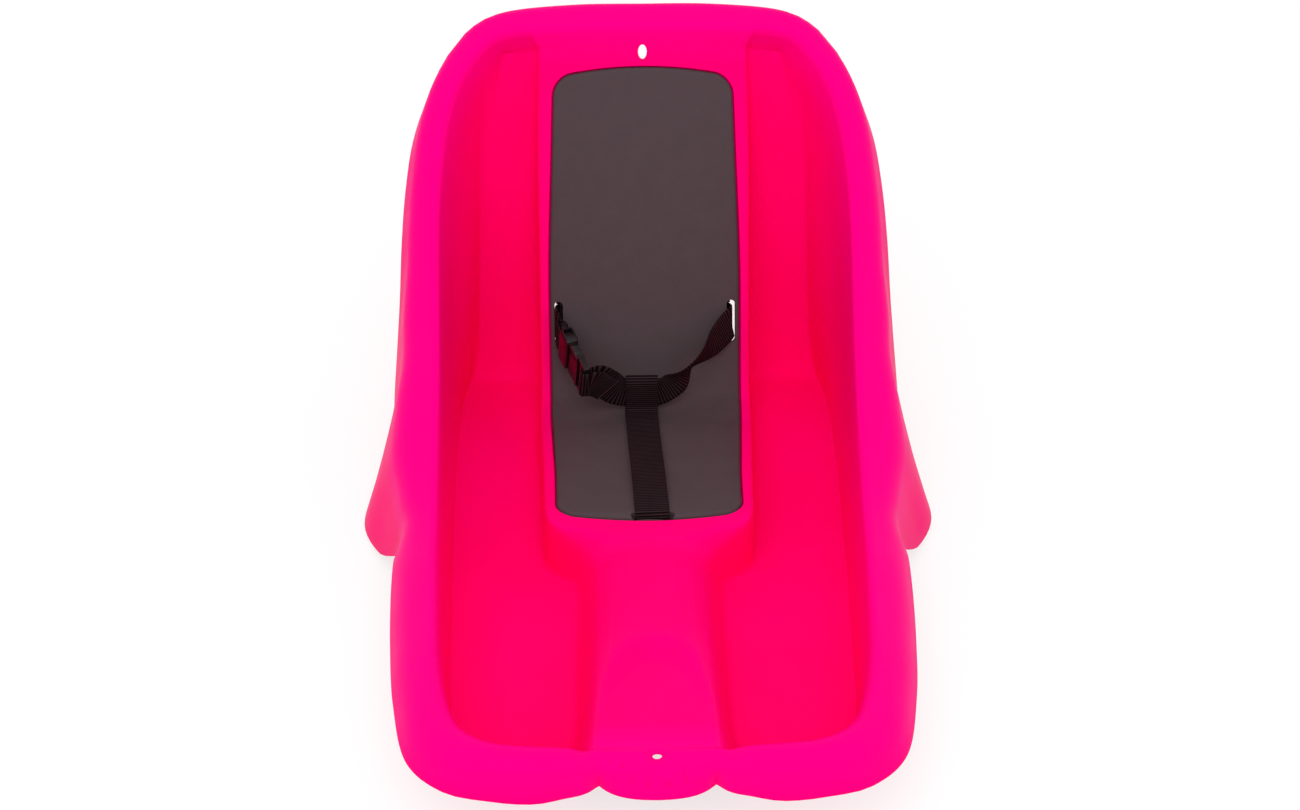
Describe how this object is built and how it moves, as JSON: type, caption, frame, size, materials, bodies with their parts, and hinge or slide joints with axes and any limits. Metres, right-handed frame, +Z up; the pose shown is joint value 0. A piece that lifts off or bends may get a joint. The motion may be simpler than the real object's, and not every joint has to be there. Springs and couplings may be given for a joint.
{
  "type": "baby pull sled",
  "caption": "Moulded plastic pull sled for a small child, with a high back, foot wells, a foam seat pad and a buckled lap harness.",
  "frame": {"origin": "middle of the footprint, on the ground", "axes": "+Y from the sled's front to its back, +Z up, +X to the right seen from the front"},
  "size_m": [0.5076, 0.7274, 0.3545],
  "materials": {
    "moulding": "satin",
    "foam": "matte, closed-cell foam",
    "webbing": "ribbed weave",
    "buckle": "polished",
    "anchor": "matte"
  },
  "bodies": {
    "sled": {"shell": "moulding", "seat_pad": "foam", "lap_strap_left": "webbing", "lap_strap_right": "webbing", "crotch_strap": "webbing", "buckle_socket": "buckle", "anchor_left": "anchor", "anchor_right": "anchor", "anchor_crotch": "anchor"},
    "plug": {"buckle_plug": "buckle"},
    "upper_prong": {"prong_upper": "buckle"},
    "lower_prong": {"prong_lower": "buckle"}
  },
  "joints": [
    {"name": "buckle_release", "type": "slide", "parent": "sled", "child": "plug", "axis": [0.3535, -0.9101, -0.216], "range_m": [0, 0.026], "deforming": ["lap_strap_right", "prong_upper", "prong_lower"]},
    {"name": "squeeze_upper", "type": "hinge", "parent": "plug", "child": "upper_prong", "pos_m": [-0.06094, 0.14101, 0.10238], "axis": [-0.9321, -0.3621, 0], "range_deg": [0, 6], "stiffness_Nm_per_rad": 0.02},
    {"name": "squeeze_lower", "type": "hinge", "parent": "plug", "child": "lower_prong", "pos_m": [-0.06324, 0.14693, 0.07368], "axis": [0.9321, 0.3621, 0], "range_deg": [0, 6], "stiffness_Nm_per_rad": 0.02}
  ],
  "couplings": [
    {"joint": "squeeze_lower", "follows": "squeeze_upper", "ratio": 1}
  ]
}
